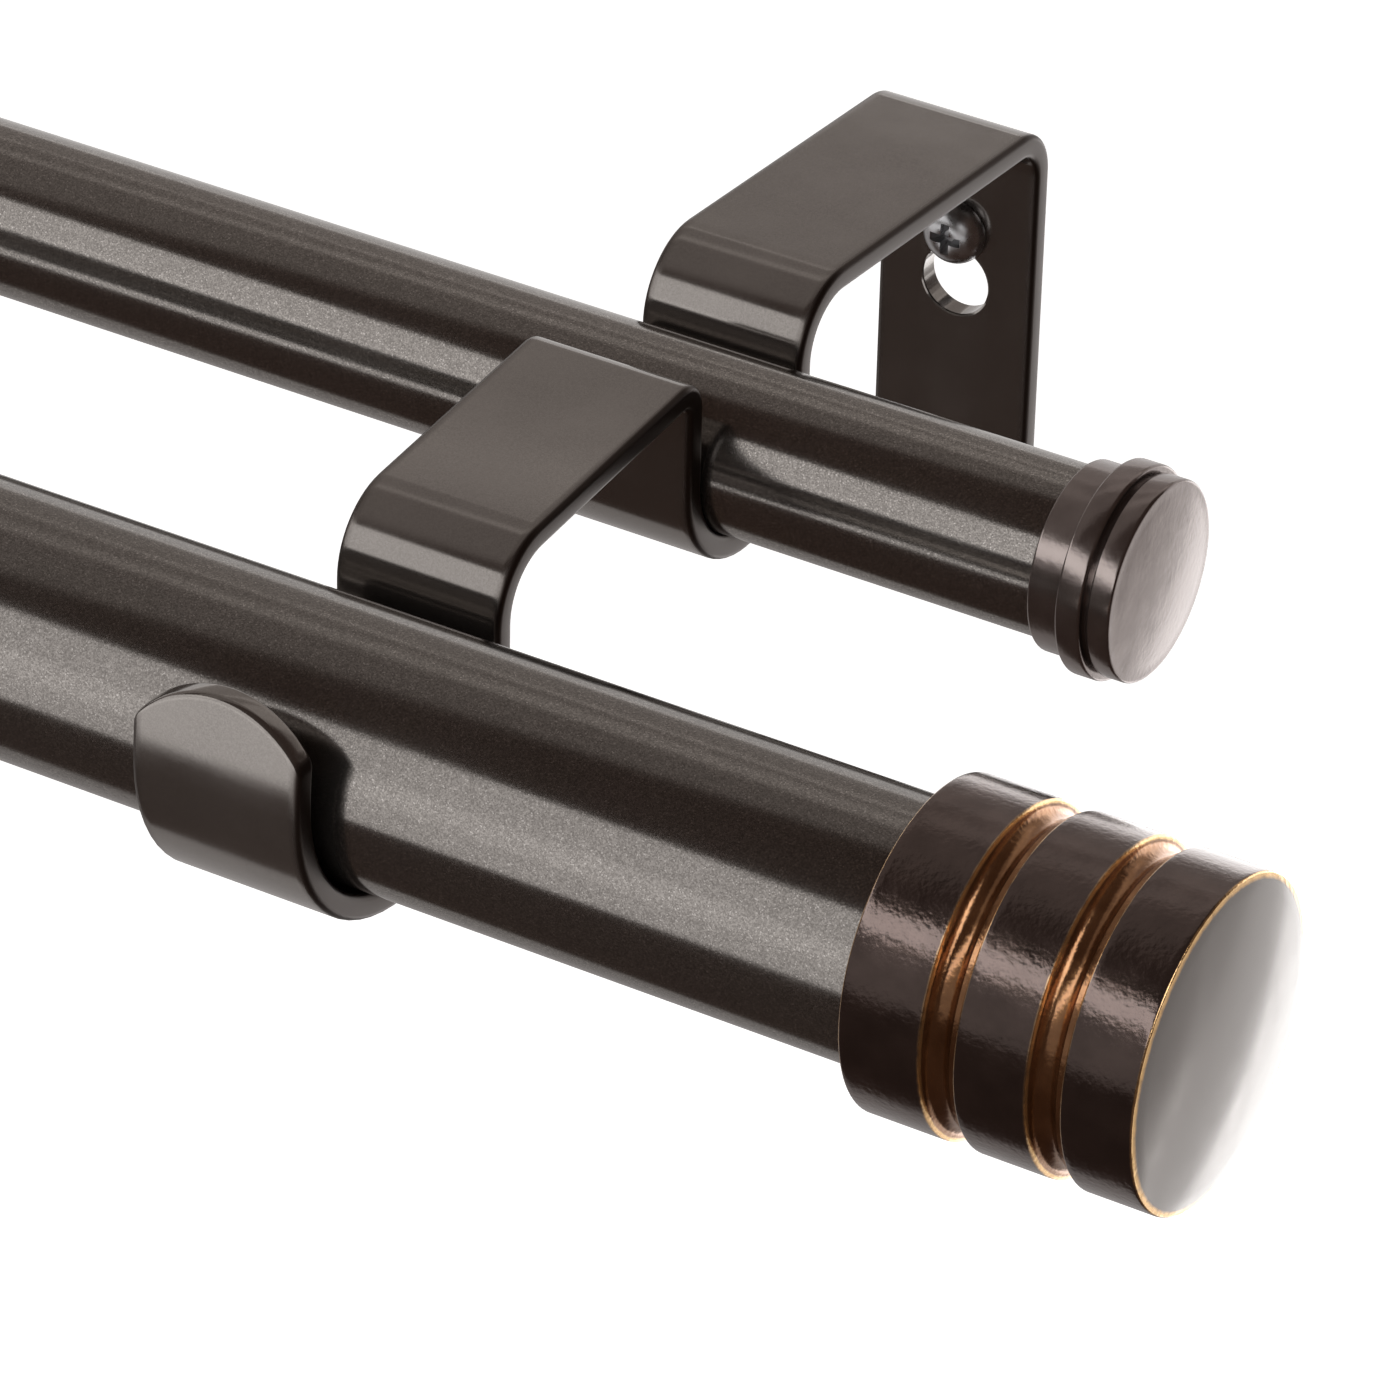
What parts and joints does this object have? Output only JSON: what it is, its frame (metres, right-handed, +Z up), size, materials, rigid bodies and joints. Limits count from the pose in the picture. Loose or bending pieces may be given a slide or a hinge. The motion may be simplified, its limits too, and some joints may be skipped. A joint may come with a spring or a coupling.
{
  "type": "extendable double curtain pole",
  "caption": "Two parallel telescopic curtain poles, a thick front one with grooved finials and a thin back one with stepped caps, on folded strip wall brackets.",
  "frame": {"origin": "middle of the rectangle of the four wall screws, on the wall's face", "axes": "+X along the poles to the right as seen from the room, +Y into the wall, +Z up"},
  "size_m": [0.7674, 0.1689, 0.0607],
  "materials": {
    "pole_bronze": "satin bronze-brown paint with a fine metallic sparkle",
    "bracket_bronze": "smooth satin bronze-brown powder coat",
    "finial_bronze": "glossy oil-rubbed bronze, copper in the grooves, gold where the edges are rubbed",
    "cap_bronze": "glossy bronze-brown paint",
    "screw_zinc": "dark bright zinc plate",
    "nylon": "black nylon"
  },
  "bodies": {
    "root": {"right_bracket": "bracket_bronze", "right_upper_screw": "screw_zinc", "right_lower_screw": "screw_zinc", "left_bracket": "bracket_bronze", "left_upper_screw": "screw_zinc", "left_lower_screw": "screw_zinc", "front_outer_tube": "pole_bronze", "front_right_plug": "nylon", "front_right_finial": "finial_bronze", "back_outer_tube": "pole_bronze", "back_right_plug": "nylon", "back_right_cap": "cap_bronze"},
    "front_inner_pole": {"front_inner_tube": "pole_bronze", "front_glide": "nylon", "front_left_plug": "nylon", "front_left_finial": "finial_bronze"},
    "back_inner_pole": {"back_inner_tube": "pole_bronze", "back_glide": "nylon", "back_left_plug": "nylon", "back_left_cap": "cap_bronze"}
  },
  "joints": [
    {"name": "front_draw", "type": "slide", "parent": "root", "child": "front_inner_pole", "axis": [-1, 0, 0], "range_m": [0, 0.5]},
    {"name": "back_draw", "type": "slide", "parent": "root", "child": "back_inner_pole", "axis": [-1, 0, 0], "range_m": [0, 0.5]}
  ]
}
